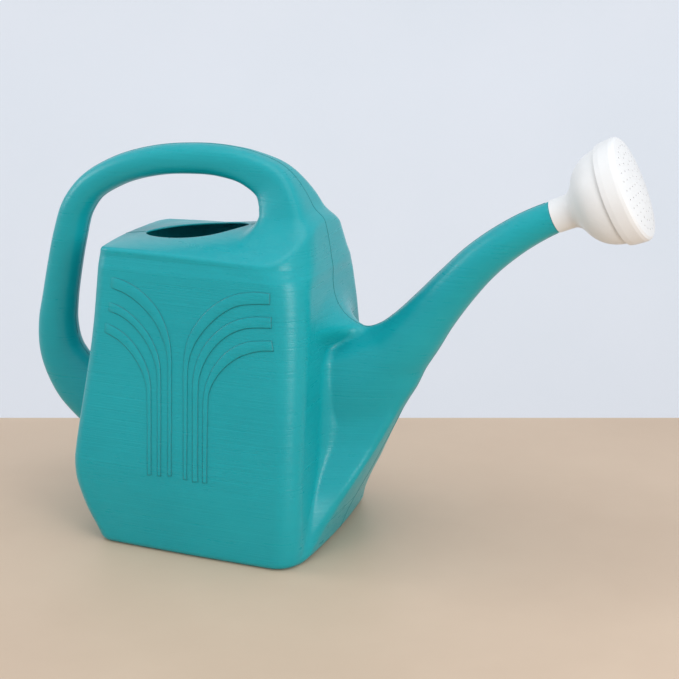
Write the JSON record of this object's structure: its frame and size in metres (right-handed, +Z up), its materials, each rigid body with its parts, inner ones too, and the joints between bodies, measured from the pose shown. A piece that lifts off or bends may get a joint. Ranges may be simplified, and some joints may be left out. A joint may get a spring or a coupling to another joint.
{
  "type": "watering can",
  "caption": "Blow-moulded garden watering can with integral hollow handle and long spout, open filling mouth, and a push-on rose with a perforated face.",
  "frame": {"origin": "centre of the base, on the surface that the can stands on", "axes": "+X from the handle towards the spout, +Z up, +Y to the left of someone looking along the spout; the mould's parting plane is y = 0"},
  "size_m": [0.6021, 0.213, 0.3971],
  "materials": {
    "can_plastic": "satin blow-moulded polyethylene, teal",
    "rose_plastic": "satin injection-moulded polyethylene, white"
  },
  "bodies": {
    "can": {"can_shell": "can_plastic"},
    "rose": {"rose_bell": "rose_plastic"},
    "face": {"rose_face": "rose_plastic"}
  },
  "joints": [
    {"name": "rose_pull", "type": "slide", "parent": "can", "child": "rose", "axis": [0.9135, 0, 0.4067], "range_m": [0, 0.05]},
    {"name": "face_pull", "type": "slide", "parent": "rose", "child": "face", "axis": [0.9135, 0, 0.4067], "range_m": [0, 0.025]}
  ]
}
